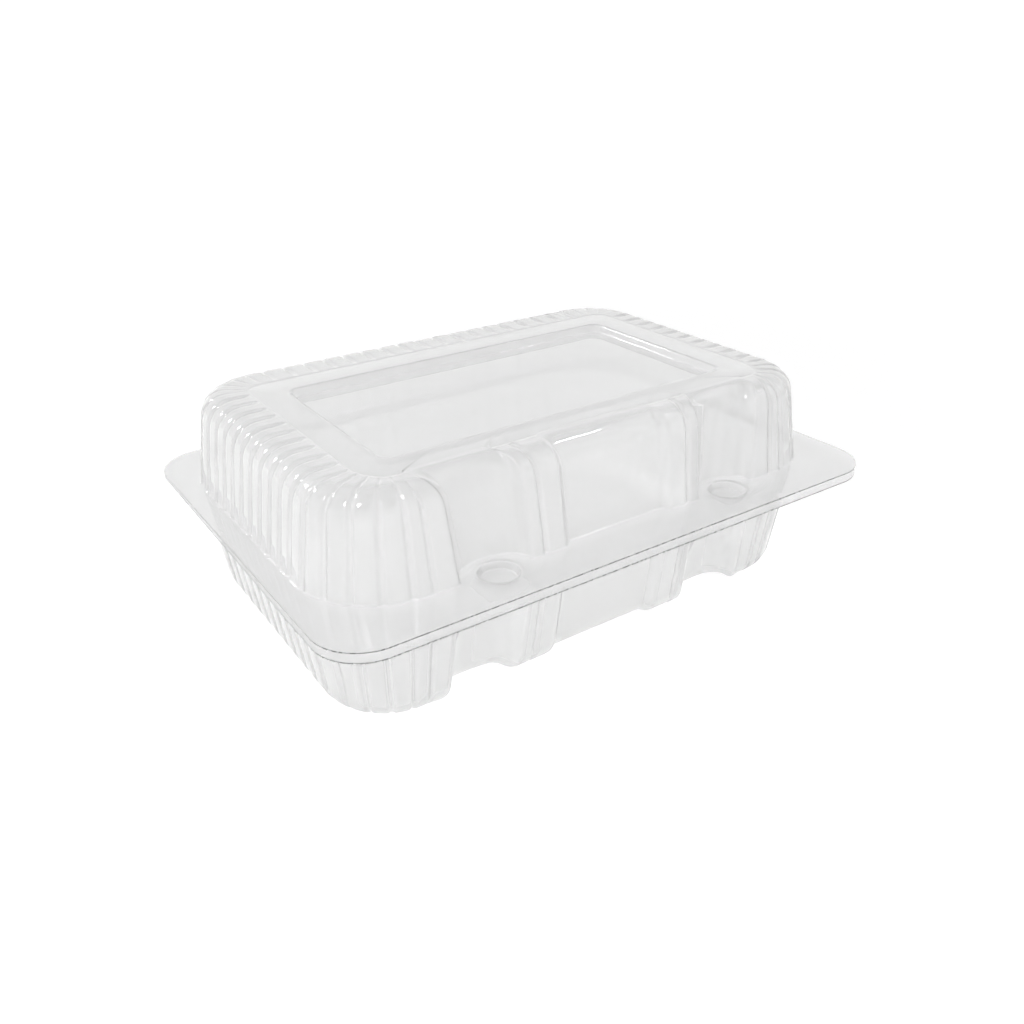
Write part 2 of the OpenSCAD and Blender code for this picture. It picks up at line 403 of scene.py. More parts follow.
@dataclass
class WallPlan:
    """Stations of a fluted wall round the pack."""

    flute_phases: tuple[float, ...] = (0.0, 0.15, 0.3, 0.35, 0.4, 0.45, 0.5, 0.55, 0.6, 0.65, 0.7, 0.85)
    front_spacing: float = 0.7
    front_easing: int = 5
    scoop_points: int = 64
    sizes: PackSizes = field(default=PACK)

    def _fluted(self, stretch: Stretch, flutes: int) -> list[Station]:
        """Return the stations of a stretch with flutes only."""
        return [Station(stretch, (i + c) / flutes, (i + c) / flutes, 0.0, c)
                for i in range(flutes) for c in self.flute_phases]

    def _front(self) -> list[Station]:
        """Return the stations of the front wall: panel, ribs, scoops and corner blocks."""
        p = self.sizes
        scoop_in, scoop_out = p.button_x - p.scoop_half, p.button_x + p.scoop_half
        rib_groove = scoop_in - p.narrow_rib_w
        panel = rib_groove - p.wide_rib_w
        block_groove = p.x_corner - 2 * p.ramp
        half = [(0.0, p.front_panel_step), (panel - p.ramp, p.front_panel_step), (panel + p.ramp, 0.0)]
        for i in range(self.scoop_points + 1):
            a = math.pi * (1 - i / self.scoop_points)
            half.append((p.button_x + p.scoop_half * math.cos(a),
                         p.scoop_d * max(math.sin(a), 0.0) ** p.scoop_square))
        half.append((p.x_corner, 0.0))
        line = np.array([(-x, y) for x, y in reversed(half[1:])] + half)
        along = np.concatenate(([0], np.cumsum(np.linalg.norm(np.diff(line, axis=0), axis=1))))
        n = round(along[-1] / self.front_spacing)
        even = np.linspace(0, along[-1], n + 1)
        eased = np.stack([np.interp(even, along, line[:, k]) for k in (0, 1)], 1)
        for _ in range(self.front_easing):
            eased[1:-1] = (eased[:-2] + 2 * eased[1:-1] + eased[2:]) / 4
        drawn_from = [0, scoop_in, scoop_out, p.x_corner]
        drawn_to = [0, scoop_in + p.rib_taper, scoop_out + p.block_taper, p.x_corner]
        stations = []
        for x, setback in eased[:-1]:
            end_x = math.copysign(np.interp(abs(x), drawn_from, drawn_to), x)
            near = min(abs(abs(x) - rib_groove), abs(abs(x) - block_groove))
            phase = 0.5 + near / p.ramp * p.groove_half
            stations.append(Station(Stretch.FRONT, (x / p.x_corner + 1) / 2, (end_x / p.x_corner + 1) / 2,
                                    float(setback), min(phase, 1.0)))
        return stations

    def stations(self) -> list[Station]:
        """Return all stations, counter-clockwise from the front's left end."""
        p = self.sizes
        side = round((FOOT.cy_back - FOOT.cy_front) / p.flute_pitch)
        back = round(2 * p.x_corner / p.flute_pitch)
        corner = round(p.corner_r * math.pi / 2 / p.flute_pitch) - 1
        return [
            *self._front(),
            *self._fluted(Stretch.FRONT_RIGHT, corner),
            *self._fluted(Stretch.RIGHT, side),
            *self._fluted(Stretch.BACK_RIGHT, corner),
            *self._fluted(Stretch.BACK, back),
            *self._fluted(Stretch.BACK_LEFT, corner),
            *self._fluted(Stretch.LEFT, side),
            *self._fluted(Stretch.FRONT_LEFT, corner),
        ]


# Finishes


@dataclass(frozen=True)
class ClearSheet:
    """Clear PET, thermoformed: glossy, faintly grey, wavy where the film stretched."""

    name: str
    tint: str = "#F7F7F7"
    shade_tint: str = "#FBFBFB"
    ior: float = 1.575
    transmission: float = 0.72
    gloss: float = 0.02
    scuffed: float = 0.07
    wave_mm: float = 16.0
    wave_height_mm: float = 0.05
    scuff_mm: float = 7.0

    def make(self) -> bpy.types.Material:
        """Return the material."""
        material = bpy.data.materials.new(self.name)
        material.use_nodes = True
        tree = material.node_tree
        tree.nodes.clear()
        place = add_node(tree, "ShaderNodeTexCoord").outputs["Object"]
        # Film thins unevenly as it is drawn into the mould: reflections waver over about two flutes
        waves = add_node(tree, "ShaderNodeTexNoise", inputs={
            "Vector": place, "Scale": 1 / (self.wave_mm * MM), "Detail": 1.5, "Roughness": 0.45})
        bump = add_node(tree, "ShaderNodeBump", inputs={
            "Height": waves.outputs["Fac"], "Distance": self.wave_height_mm * MM, "Strength": 1.0})
        # Handling dulls the gloss in soft patches
        scuffs = add_node(tree, "ShaderNodeTexNoise", inputs={
            "Vector": place, "Scale": 1 / (self.scuff_mm * MM), "Detail": 4.0, "Roughness": 0.6})
        rough = add_node(tree, "ShaderNodeMapRange", inputs={
            "Value": scuffs.outputs["Fac"], "From Min": 0.45, "From Max": 0.75,
            "To Min": self.gloss, "To Max": self.scuffed})
        sheet = add_node(tree, "ShaderNodeBsdfPrincipled", inputs={
            "Base Color": linear(self.tint), "IOR": self.ior, "Roughness": rough.outputs["Result"],
            "Transmission Weight": self.transmission, "Normal": bump.outputs["Normal"]})
        # Lamps shine through the sheet and leave only a faint shadow
        through = add_node(tree, "ShaderNodeBsdfTransparent", inputs={"Color": linear(self.shade_tint)})
        lamp_ray = add_node(tree, "ShaderNodeLightPath").outputs["Is Shadow Ray"]
        mix = add_node(tree, "ShaderNodeMixShader", inputs={
            0: lamp_ray, 1: sheet.outputs[0], 2: through.outputs[0]})
        add_node(tree, "ShaderNodeOutputMaterial", inputs={"Surface": mix.outputs[0]})
        return material


@dataclass(frozen=True)
class Finishes:
    """The pack's finishes."""

    lid: ClearSheet = ClearSheet("pet_clear_thermoformed_lid")
    tray: ClearSheet = ClearSheet("pet_clear_thermoformed_tray")
    # A die leaves the sheet's edge a little torn, so it is rougher than the faces; its dark grey tint is
    # painted shade, standing in for the dark lines that the sheet's edge shows seen end-on
    edge: ClearSheet = ClearSheet("pet_cut_edge_painted_shade", tint="#8E9090", transmission=0.5,
                                  gloss=0.25, scuffed=0.4, scuff_mm=2.0)
    # Folding strains the film, which clouds it along the crease
    fold: ClearSheet = ClearSheet("pet_strained_fold", tint="#E4E5E5", gloss=0.12, scuffed=0.3, scuff_mm=2.5)


# Geometry Nodes trees


def new_tree(name: str, numbers: dict[str, float]) -> tuple:
    """Start a Geometry Nodes tree with named inputs for its sizes and its material.

    Args:
        name: name of the tree.
        numbers: default of each number input.

    Returns:
        The tree, its input node and its output node.
    """
    tree = bpy.data.node_groups.new(name, "GeometryNodeTree")
    tree.interface.new_socket("Geometry", in_out="INPUT", socket_type="NodeSocketGeometry")
    tree.interface.new_socket("Geometry", in_out="OUTPUT", socket_type="NodeSocketGeometry")
    for label, value in numbers.items():
        socket = tree.interface.new_socket(label, in_out="INPUT", socket_type="NodeSocketFloat")
        socket.default_value = value
    tree.interface.new_socket("Material", in_out="INPUT", socket_type="NodeSocketMaterial")
    return tree, add_node(tree, "NodeGroupInput"), add_node(tree, "NodeGroupOutput")


def set_inputs(modifier: bpy.types.Modifier, values: dict) -> None:
    """Set a Geometry Nodes modifier's inputs by their sockets' identifiers."""
    for item in modifier.node_group.interface.items_tree:
        if item.in_out == "INPUT" and item.name in values:
            modifier[item.identifier] = values[item.name]


def close_tree(tree: bpy.types.NodeTree, geometry, source, sink) -> bpy.types.NodeTree:
    """End a tree in Realize Instances and Set Material."""
    real = add_node(tree, "GeometryNodeRealizeInstances", inputs={"Geometry": geometry})
    dressed = add_node(tree, "GeometryNodeSetMaterial", inputs={
        "Geometry": real.outputs[0], "Material": source.outputs["Material"]})
    tree.links.new(dressed.outputs[0], sink.inputs[0])
    return tree


def flute_tree() -> bpy.types.NodeTree:
    """Make the tree that presses the grooves between the flutes into a smooth wall.

    Returns:
        A tree that moves each point along its inward vector by the groove's depth at its flute phase.
    """
    tree, source, sink = new_tree("press_flutes",
                                  {"Depth": PACK.flute_depth * MM, "Half width": PACK.groove_half})
    phase = add_node(tree, "GeometryNodeInputNamedAttribute", {"data_type": "FLOAT"}, {"Name": "phase"})
    fade = add_node(tree, "GeometryNodeInputNamedAttribute", {"data_type": "FLOAT"}, {"Name": "fade"})
    inward = add_node(tree, "GeometryNodeInputNamedAttribute", {"data_type": "FLOAT_VECTOR"},
                      {"Name": "inward"})
    off = add_node(tree, "ShaderNodeMath", {"operation": "SUBTRACT"}, {0: phase.outputs[0], 1: 0.5})
    away = add_node(tree, "ShaderNodeMath", {"operation": "ABSOLUTE"}, {0: off.outputs[0]})
    share = add_node(tree, "ShaderNodeMath", {"operation": "DIVIDE"},
                     {0: away.outputs[0], 1: source.outputs["Half width"]})
    held = add_node(tree, "ShaderNodeMath", {"operation": "MINIMUM"}, {0: share.outputs[0], 1: 1.0})
    angle = add_node(tree, "ShaderNodeMath", {"operation": "MULTIPLY"}, {0: held.outputs[0], 1: math.pi})
    wave = add_node(tree, "ShaderNodeMath", {"operation": "COSINE"}, {0: angle.outputs[0]})
    shape = add_node(tree, "ShaderNodeMath", {"operation": "MULTIPLY_ADD"},
                     {0: wave.outputs[0], 1: 0.5, 2: 0.5})
    faded = add_node(tree, "ShaderNodeMath", {"operation": "MULTIPLY"},
                     {0: shape.outputs[0], 1: fade.outputs[0]})
    deep = add_node(tree, "ShaderNodeMath", {"operation": "MULTIPLY"},
                    {0: faded.outputs[0], 1: source.outputs["Depth"]})
    push = add_node(tree, "ShaderNodeVectorMath", {"operation": "SCALE"},
                    {"Vector": inward.outputs[0], "Scale": deep.outputs[0]})
    moved = add_node(tree, "GeometryNodeSetPosition",
                     inputs={"Geometry": source.outputs["Geometry"], "Offset": push.outputs[0]})
    return close_tree(tree, moved.outputs[0], source, sink)


def pair_tree() -> bpy.types.NodeTree:
    """Make the tree that sets one cup at both places along the front flange.

    Returns:
        A tree that repeats its input geometry at two points, Spread apart along X.
    """
    tree, source, sink = new_tree("cup_pair", {"Spread": 2 * PACK.button_x * MM})
    half = add_node(tree, "ShaderNodeMath", {"operation": "MULTIPLY"}, {0: source.outputs["Spread"], 1: -0.5})
    start = add_node(tree, "ShaderNodeCombineXYZ", inputs={"X": half.outputs[0]})
    step = add_node(tree, "ShaderNodeCombineXYZ", inputs={"X": source.outputs["Spread"]})
    places = add_node(tree, "GeometryNodeMeshLine", {"mode": "OFFSET"},
                      {"Count": 2, "Start Location": start.outputs[0], "Offset": step.outputs[0]})
    cups = add_node(tree, "GeometryNodeInstanceOnPoints",
                    inputs={"Points": places.outputs[0], "Instance": source.outputs["Geometry"]})
    return close_tree(tree, cups.outputs[0], source, sink)


def fold_tree() -> bpy.types.NodeTree:
    """Make the tree that rolls a flat strip round the hinge's line.

    Returns:
        A tree whose strip runs along X and turns by Sweep from straight down, at Radius.
    """
    tree, source, sink = new_tree("roll_fold", {"Length": 0.19, "Radius": 0.0005, "Sweep": math.pi})
    strip = add_node(tree, "GeometryNodeMeshGrid", inputs={
        "Size X": source.outputs["Length"], "Size Y": 1.0,
        "Vertices X": FOLD_ALONG, "Vertices Y": FOLD_ROUND})
    spot = add_node(tree, "ShaderNodeSeparateXYZ",
                    inputs={0: add_node(tree, "GeometryNodeInputPosition").outputs[0]})
    share = add_node(tree, "ShaderNodeMath", {"operation": "ADD"}, {0: spot.outputs["Y"], 1: 0.5})
    turn = add_node(tree, "ShaderNodeMath", {"operation": "MULTIPLY"},
                    {0: share.outputs[0], 1: source.outputs["Sweep"]})
    out = add_node(tree, "ShaderNodeMath", {"operation": "SINE"}, {0: turn.outputs[0]})
    up = add_node(tree, "ShaderNodeMath", {"operation": "COSINE"}, {0: turn.outputs[0]})
    y = add_node(tree, "ShaderNodeMath", {"operation": "MULTIPLY"},
                 {0: out.outputs[0], 1: source.outputs["Radius"]})
    r_down = add_node(tree, "ShaderNodeMath", {"operation": "MULTIPLY"},
                      {0: source.outputs["Radius"], 1: -1.0})
    z = add_node(tree, "ShaderNodeMath", {"operation": "MULTIPLY"}, {0: up.outputs[0], 1: r_down.outputs[0]})
    rolled = add_node(tree, "ShaderNodeCombineXYZ",
                      inputs={"X": spot.outputs["X"], "Y": y.outputs[0], "Z": z.outputs[0]})
    moved = add_node(tree, "GeometryNodeSetPosition",
                     inputs={"Geometry": strip.outputs[0], "Position": rolled.outputs[0]})
    return close_tree(tree, moved.outputs[0], source, sink)


# Formed shells


@dataclass
class Ring:
    """Points round a shell at one level, with what the flutes need."""

    points: np.ndarray
    inward: np.ndarray
    fade: np.ndarray


@dataclass
class FormedShell:
    """Flange, fluted walls and flat end of one half of the pack, before it has its thickness.

    The flange's outer face is at z = 0 and the flat end at z = height.
    """

    name: str
    node: str
    body: Body
    slot: Slot
    height: float
    draft: float
    shoulder_r: float
    end_outline: Outline
    finish: ClearSheet
    foot_round: float = 0.8
    flange_ring: float = 1.15
    foot_steps: int = 4
    shoulder_steps: int = 10
    flat_steps: int = 6
    crease_half: float = 0.8
    crease_depth: float = 0.16
    crease_line: tuple = ((0.5, 0.5), (0.0, 1.0), (-0.5, 0.5), (-1.0, 0.0))
    clear_flat: float = 2.4
    fade_power: int = 4
    bead_slope: float = 0.35
    cup_round: float = 0.6
    cup_round_steps: int = 4
    cup_points: int = 96
    sharp_deg: float = 55.0
    plan: WallPlan = field(default_factory=WallPlan)

    def __post_init__(self) -> None:
        """Place the wall's upright lines."""
        self.stations = self.plan.stations()
        self.count = len(self.stations)
        s = self.stations
        self.end_points = np.array([self.end_outline.point(k.stretch, k.end) for k in s])
        foot = np.array([FOOT.point(k.stretch, k.foot) for k in s])
        foot[:, 1] += [k.setback for k in s]
        self.run = np.linalg.norm(foot - self.end_points, axis=1)
        self.out = (foot - self.end_points) / self.run[:, None]
        along = np.roll(foot, -1, 0) - np.roll(foot, 1, 0)
        foot_step = np.linalg.norm(along, axis=1)
        self.square = np.stack([along[:, 1], -along[:, 0]], 1) / foot_step[:, None]
        end_step = np.linalg.norm(np.roll(self.end_points, -1, 0) - np.roll(self.end_points, 1, 0), axis=1)
        self.narrowing = np.clip(2 * end_step / foot_step, 0, 1) ** 2

    def _at(self, distance: np.ndarray, z: np.ndarray, aside: float = 0.0) -> np.ndarray:
        """Return points at a distance out from the flutes' end, at a height, set off square to the foot."""
        xy = self.end_points + self.out * np.asarray(distance)[:, None] + self.square * aside
        return np.column_stack([xy, np.broadcast_to(z, self.count)])

    def _inward(self, tilt: np.ndarray) -> np.ndarray:
        """Return the direction into the wall where it is tilted this far from upright."""
        return -np.column_stack([self.out * np.cos(tilt)[:, None], np.sin(tilt)])

    def wall_rings(self) -> list[Ring]:
        """Return the rings from the flange to the flutes' end."""
        p = PACK
        draft = math.radians(self.draft)
        ones, none = np.ones(self.count), np.zeros(self.count)
        room = self.run - self.height * math.tan(draft) - p.least_flat
        r = np.minimum(self.shoulder_r, room * math.cos(draft) / (1 - math.sin(draft)))
        middle = self.run - (self.height - r + r * math.sin(draft)) * math.tan(draft) - r * math.cos(draft)
        level = self._inward(none) / math.cos(draft)
        rings = [Ring(self._at(self.run, 0.0, self.flange_ring), level, none)]
        reach = self.foot_round * math.tan((math.pi / 2 - draft) / 2)
        for i in range(self.foot_steps + 1):
            turn = (math.pi / 2 - draft) * i / self.foot_steps
            z = self.foot_round * (1 - math.cos(turn))
            aside = reach - self.foot_round * math.sin(turn) + z * math.tan(draft)
            rings.append(Ring(self._at(self.run - z * math.tan(draft), z, aside), level, ones))
        for i in range(self.shoulder_steps + 1):
            share = i / self.shoulder_steps
            tilt = np.full(self.count, draft + (math.pi / 2 - draft) * share)
            fade = 1 - (1 - p.groove_fade * self.narrowing) * smoothstep(np.full(self.count, share))
            rings.append(Ring(self._at(middle + r * np.cos(tilt), self.height - r + r * np.sin(tilt)),
                              self._inward(tilt), fade))
        # A crease marks the flutes' end; over the scoops, where no flat is left, it moves in and dies out
        lip = np.minimum(self.crease_half, middle / 2)
        inset = np.maximum(0, self.clear_flat - middle)
        for i in range(1, self.flat_steps + 1):
            share = i / self.flat_steps
            fade = self.narrowing * p.groove_fade * (1 - share**self.fade_power)
            rings.append(Ring(self._at(middle + (lip - inset - middle) * share, self.height),
                              self._inward(ones * math.pi / 2), fade))
        crease = self.crease_depth * (lip / self.crease_half) ** 2
        for distance, sunk in self.crease_line:
            rings.append(Ring(self._at(lip * distance - inset, self.height - crease * sunk),
                              self._inward(ones * math.pi / 2), none))
        return rings

    def end_rings(self) -> list[Ring]:
        """Return the rings of what is formed in the flat end."""
        return []

    def end_level(self) -> float:
        """Return the height of the flat end's middle."""
        return self.height

    def still(self, outline: Outline, z: float) -> Ring:
        """Return a ring on an outline that the flutes leave alone."""
        xy = np.array([outline.point(k.stretch, k.foot) for k in self.stations])
        points = np.column_stack([xy, np.full(self.count, z)])
        return Ring(points, np.zeros((self.count, 3)), np.zeros(self.count))

    def cup_profile(self) -> list[tuple[float, float]]:
        """Return the outer face of a cup as radius and height, from the bead's edge to the middle."""
        raise NotImplementedError

    def placed(self, points: np.ndarray) -> np.ndarray:
        """Return points of the shell in the pack's frame."""
        raise NotImplementedError

    def _cup_circle(self, x: float) -> np.ndarray:
        """Return the rim of one cup's hole in the flange."""
        a = np.arange(self.cup_points) * 2 * math.pi / self.cup_points
        x, y = x + PACK.bead_r * np.cos(a), PACK.button_y + PACK.bead_r * np.sin(a)
        return np.column_stack([x, y, 0 * a])

    def _on_flange(self, points: np.ndarray, faces: list, foot: np.ndarray) -> list:
        """Return the triangles that lie outside the wall's foot and clear of the cups.

        Args:
            points: plan points of the triangles.
            faces: triangles by point number.
            foot: ring where the flange meets the wall.

        Returns:
            The flange's triangles.
        """
        mid = points[np.array([list(f) for f in faces])].mean(1)
        a, b = foot[:, :2], np.roll(foot[:, :2], -1, 0)
        x, y = mid[:, 0, None], mid[:, 1, None]
        spans = (a[:, 1] > y) != (b[:, 1] > y)
        rise = np.where(b[:, 1] == a[:, 1], 1.0, b[:, 1] - a[:, 1])
        inside = (spans & (x < a[:, 0] + (y - a[:, 1]) / rise * (b[:, 0] - a[:, 0]))).sum(1) % 2 == 1
        for side in (-1, 1):
            inside |= np.hypot(mid[:, 0] - side * PACK.button_x, mid[:, 1] - PACK.button_y) < PACK.bead_r
        return [f for f, gone in zip(faces, inside) if not gone]

    def cups(self) -> bpy.types.Mesh:
        """Return both cups, lathed from their profile and repeated by Geometry Nodes."""
        profile = self.cup_profile()
        a = np.arange(self.cup_points) * 2 * math.pi / self.cup_points
        points = [np.column_stack([r * np.cos(a), r * np.sin(a), np.full(self.cup_points, z)])
                  for r, z in profile[:-1]]
        points.append(np.array([[0.0, 0.0, profile[-1][1]]]))
        verts = np.concatenate(points) * MM
        verts[:, 1] += PACK.button_y * MM
        n, faces = self.cup_points, []
        for j in range(len(profile) - 2):
            for i in range(n):
                k = (i + 1) % n
                faces.append((j * n + i, j * n + k, (j + 1) * n + k, (j + 1) * n + i))
        last = (len(profile) - 2) * n
        faces += [(last + i, last + (i + 1) % n, last + n) for i in range(n)]
        mesh = bpy.data.meshes.new(self.name + "_cup")
        mesh.from_pydata(verts.tolist(), [], faces)
        carrier = link(bpy.data.objects.new(self.name + "_cup_pair", mesh))
        pair = carrier.modifiers.new("cup_pair", "NODES")
        pair.node_group = pair_tree()
        set_inputs(pair, {"Spread": 2 * PACK.button_x * MM})
        both = plain_mesh(carrier, self.name + "_cups")
        bpy.data.objects.remove(carrier)
        return both

    def skin(self) -> bpy.types.Mesh:
        """Return the outer face with smooth walls and what the flutes need as attributes."""
        rings = self.wall_rings() + self.end_rings()
        n = self.count
        edge = self.still(FLANGE, 0.0)
        rims = [self._cup_circle(side * PACK.button_x) for side in (-1, 1)]
        flat = [edge.points, rings[0].points, *rims]
        corners = [Vector(v[:2]) for part in flat for v in part]
        loops, first = [], 0
        for part in flat:
            loops += [(first + i, first + (i + 1) % len(part)) for i in range(len(part))]
            first += len(part)
        cut = delaunay_2d_cdt(corners, loops, [], INSIDE, JOIN_MM)
        flange_points, origins = cut[0], cut[3]
        flange_faces = self._on_flange(np.array([tuple(v) for v in flange_points]), cut[2], rings[0].points)
        # Flange points come first, in the order that the triangulation keeps; rings[0] is among them
        index = {}
        for new, olds in enumerate(origins):
            for old in olds:
                index[old] = new
        verts = [np.array([(v.x, v.y, 0.0) for v in flange_points])]
        inward, fade, phase = [np.zeros((len(flange_points), 3))], [np.zeros(len(flange_points))], []
        phase.append(np.ones(len(flange_points)))
        station_phase = np.array([s.phase for s in self.stations])
        start = len(flange_points)
        numbers = [[index[n + i] for i in range(n)]]
        for ring in rings[1:]:
            numbers.append(list(range(start, start + n)))
            start += n
            verts.append(ring.points)
            inward.append(ring.inward)
            fade.append(ring.fade)
            phase.append(station_phase)
        verts.append(np.array([[0.0, (FOOT.front + FOOT.back) / 2, self.end_level()]]))
        inward.append(np.zeros((1, 3)))
        fade.append(np.zeros(1))
        phase.append(np.ones(1))
        faces = [tuple(f) for f in flange_faces]
        for low, high in zip(numbers, numbers[1:]):
            faces += [(low[i], low[(i + 1) % n], high[(i + 1) % n], high[i]) for i in range(n)]
        faces += [(numbers[-1][i], numbers[-1][(i + 1) % n], start) for i in range(n)]
        LOG.info("%s: %d stations, %d rings, %d flange points of %d", self.name, n, len(rings),
                 len(flange_points), len(corners))
        mesh = bpy.data.meshes.new(self.name + "_skin")
        mesh.from_pydata((np.concatenate(verts) * MM).tolist(), [], faces)
        for label, kind, values in (("phase", "FLOAT", phase), ("fade", "FLOAT", fade),
                                    ("inward", "FLOAT_VECTOR", inward)):
            layer = mesh.attributes.new(label, kind, "POINT")
            flat_values = np.concatenate(values).astype(np.float32).ravel()
            layer.data.foreach_set("vector" if kind == "FLOAT_VECTOR" else "value", flat_values)
        return mesh

    def build(self, edge: bpy.types.Material) -> bpy.types.Object:
        """Build the shell as a finished piece on its body.

        Args:
            edge: finish of the cut edge.

        Returns:
            The piece, which replaces its node.
        """
        joined = bmesh.new()
        joined.from_mesh(self.skin())
        joined.from_mesh(self.cups())
        bmesh.ops.remove_doubles(joined, verts=joined.verts, dist=WELD)
        bmesh.ops.recalc_face_normals(joined, faces=joined.faces)
        top = max(joined.faces, key=lambda f: f.calc_center_median().z)
        if top.normal.z < 0:
            bmesh.ops.reverse_faces(joined, faces=joined.faces)
        mesh = bpy.data.meshes.new(self.name)
        joined.to_mesh(mesh)
        joined.free()
        piece = link(bpy.data.objects.new(self.name, mesh))
        sheet = self.finish.make()
        piece.data.materials.append(sheet)
        piece.data.materials.append(edge)
        flutes = piece.modifiers.new("flutes", "NODES")
        flutes.node_group = flute_tree()
        set_inputs(flutes, {"Depth": PACK.flute_depth * MM, "Half width": PACK.groove_half,
                            "Material": sheet})
        wall = plain_mesh(piece, self.name + "_wall")
        wall.materials.clear()
        wall.materials.append(sheet)
        wall.materials.append(edge)
        piece.data = wall
        thick = piece.modifiers.new("sheet", "SOLIDIFY")
        thick.thickness = PACK.sheet_t * MM
        thick.offset = -1.0
        thick.use_rim = True
        thick.material_offset_rim = 1
        formed = plain_mesh(piece, self.name)
        for label in ("phase", "fade", "inward"):
            if label in formed.attributes:
                formed.attributes.remove(formed.attributes[label])
        points = np.zeros(len(formed.vertices) * 3)
        formed.vertices.foreach_get("co", points)
        placed = self.placed(points.reshape(-1, 3) / MM) * MM
        formed.vertices.foreach_set("co", placed.ravel())
        formed.update()
        shade(formed, self.sharp_deg)
        piece.data = formed
        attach(piece, self.body.value)
        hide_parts(self.node)
        LOG.info("%s: %d faces", self.name, len(formed.polygons))
        return piece


@dataclass
class Tray(FormedShell):
    """Deep tray with the two sockets in its front flange."""

    mouth_lead: float = 0.5
    mouth_depth: float = 0.25

    def placed(self, points: np.ndarray) -> np.ndarray:
        """Return the shell turned upside down, with its flange on top."""
        return points * (1, 1, -1) + (0, 0, PACK.tray_h)

    def cup_profile(self) -> list[tuple[float, float]]:
        """Return the outside of a socket: bead, narrow mouth, belly and floor."""
        p = PACK
        belly, low = p.button_r + p.snap_clear, p.button_drop + p.snap_clear
        t = p.sheet_t
        line = [
            (p.bead_r, 0.0),
            (p.bead_r - self.bead_slope, -p.bead_h),
            (p.mouth_r + t + self.mouth_lead, -p.bead_h),
            (p.mouth_r + t, self.mouth_depth),
            (belly + t, low / 2),
            (p.mouth_r + t, low + t),
            (0.0, low + t),
        ]
        return rounded(line, self.cup_round, self.cup_round_steps)


@dataclass
class Lid(FormedShell):
    """Shallow lid with the sunk panel in its top and the two snap buttons."""

    panel_margin: float = 12.5
    panel_sink: float = 3.4
    panel_draft: float = 12.0
    panel_r: float = 5.0
    panel_round: float = 1.6
    panel_steps: int = 6
    panel_lead: float = 2.0

    def placed(self, points: np.ndarray) -> np.ndarray:
        """Return the shell above the tray, turned open about the hinge's line."""
        p = PACK
        a = math.radians(p.lid_ajar)
        y, z = points[:, 1] - p.y_hinge, points[:, 2] + p.fold_out
        return np.column_stack([points[:, 0], p.y_hinge + y * math.cos(a) + z * math.sin(a),
                                p.z_hinge - y * math.sin(a) + z * math.cos(a)])

    def _panel(self, inset: float) -> Outline:
        """Return the sunk panel's outline, drawn in by a distance."""
        o, m = self.end_outline, self.panel_margin + inset
        x, front, back = o.x - m, o.front + m, o.back - m
        return Outline(x, front, back, x - self.panel_r, front + self.panel_r, back - self.panel_r)

    def end_rings(self) -> list[Ring]:
        """Return the rings of the panel's step, with its edges rounded."""
        sink, lead = self.panel_sink, self.panel_lead
        run = sink * math.tan(math.radians(self.panel_draft))
        line = [(-lead, 0.0), (0.0, 0.0), (run, -sink), (run + lead, -sink)]
        return [self.still(self._panel(inset), self.height + drop)
                for inset, drop in rounded(line, self.panel_round, self.panel_steps)]

    def end_level(self) -> float:
        """Return the height of the sunk panel."""
        return self.height - self.panel_sink

    def cup_profile(self) -> list[tuple[float, float]]:
        """Return the upper face of a button: bead, cup wall and floor."""
        p = PACK
        t = p.sheet_t
        line = [
            (p.bead_r, 0.0),
            (p.bead_r - self.bead_slope, p.bead_h),
            (p.button_r + p.button_flare - t, p.bead_h),
            (p.button_r - t, -p.button_drop),
            (0.0, -p.button_drop),
        ]
        return rounded(line, self.cup_round, self.cup_round_steps)


@dataclass
class Fold:
    """Folded strip of the sheet that joins the two back edges."""

    finish: ClearSheet
    name: str = "fold_strip"
    clear: float = 0.01
    sharp_deg: float = 55.0

    def build(self) -> bpy.types.Object:
        """Build the strip, bent between the two bodies.

        Returns:
            The piece, which replaces the hinge's node.
        """
        p = PACK
        material = self.finish.make()
        piece = link(bpy.data.objects.new(self.name, bpy.data.meshes.new(self.name + "_flat")))
        roll = piece.modifiers.new("roll", "NODES")
        roll.node_group = fold_tree()
        set_inputs(roll, {"Length": p.fold_l * MM, "Radius": (p.fold_r + p.sheet_t / 2) * MM,
                          "Sweep": math.radians(180 - p.lid_ajar), "Material": material})
        strip = plain_mesh(piece, self.name + "_strip")
        strip.transform(Matrix.Translation((0, (p.y_hinge + self.clear) * MM, p.z_hinge * MM)))
        strip.materials.clear()
        strip.materials.append(material)
        piece.data = strip
        thick = piece.modifiers.new("sheet", "SOLIDIFY")
        thick.thickness = p.sheet_t * MM
        thick.offset = 0.0
        formed = plain_mesh(piece, self.name)
        shade(formed, self.sharp_deg)
        piece.data = formed
        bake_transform(piece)
        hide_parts("living_hinge")
        return piece


# Studio


@dataclass(frozen=True)
class Lamp:
    """Square lamp that faces the pack: place and side in metres, power in watts."""

    name: str
    place: tuple[float, float, float]
    size: float
    power: float


